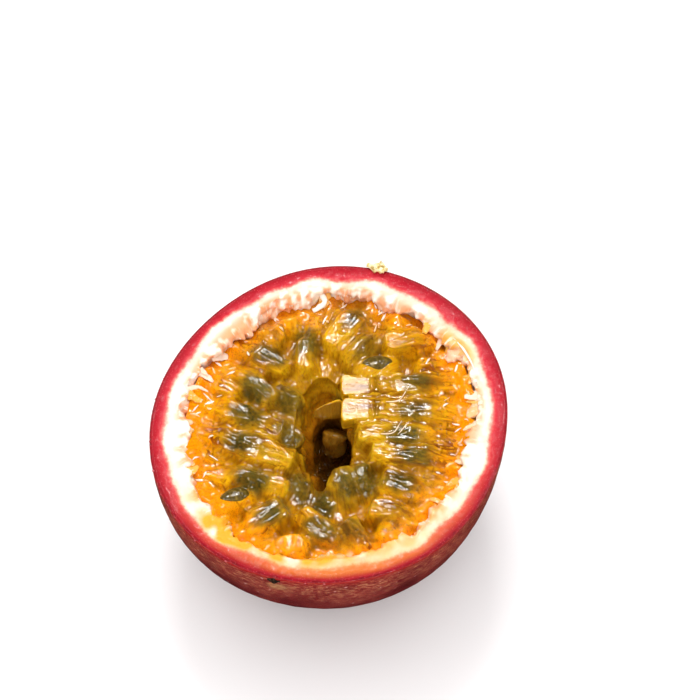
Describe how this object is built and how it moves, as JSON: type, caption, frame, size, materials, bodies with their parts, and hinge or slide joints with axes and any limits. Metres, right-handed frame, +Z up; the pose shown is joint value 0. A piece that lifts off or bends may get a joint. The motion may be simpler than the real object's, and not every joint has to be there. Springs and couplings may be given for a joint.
{
  "type": "passion fruit half",
  "caption": "Cut half of a round passion fruit: a thick domed rind holding juice sacs round a central hollow, resting cut face up on a small flat spot.",
  "frame": {"origin": "middle of the small flat spot under the dome, on the surface that the fruit stands on", "axes": "+Z up, normal to the level cut face; the hollow in the pulp is longest along Y"},
  "size_m": [0.0602, 0.0599, 0.0346],
  "materials": {
    "rind": "thin maroon skin with a soft sheen and pale specks, over crimson to white pith where it is cut",
    "pulp": "wet translucent orange to yellow gel",
    "seed": "wet dark seed coat with fine pits"
  },
  "bodies": {
    "root": {"bare_seed_1": "seed", "bare_seed_2": "seed", "pulp_bed": "pulp", "rind": "rind", "sac_far_01": "pulp", "sac_far_02": "pulp", "sac_far_03": "pulp", "sac_far_04": "pulp", "sac_far_05": "pulp", "sac_far_06": "pulp", "sac_left_01": "pulp", "sac_left_02": "pulp", "sac_left_03": "pulp", "sac_left_04": "pulp", "sac_left_05": "pulp", "sac_left_06": "pulp", "sac_left_07": "pulp", "sac_left_08": "pulp", "sac_left_09": "pulp", "sac_left_10": "pulp", "sac_left_11": "pulp", "sac_near_01": "pulp", "sac_near_02": "pulp", "sac_near_03": "pulp", "sac_near_04": "pulp", "sac_near_05": "pulp", "sac_near_06": "pulp", "sac_near_07": "pulp", "sac_near_08": "pulp", "sac_near_09": "pulp", "sac_near_10": "pulp", "sac_near_11": "pulp", "sac_near_12": "pulp", "sac_right_01": "pulp", "sac_right_02": "pulp", "sac_right_03": "pulp", "sac_right_04": "pulp", "sac_right_05": "pulp", "sac_right_06": "pulp", "sac_right_07": "pulp", "sac_right_08": "pulp", "sac_right_09": "pulp"}
  },
  "joints": []
}
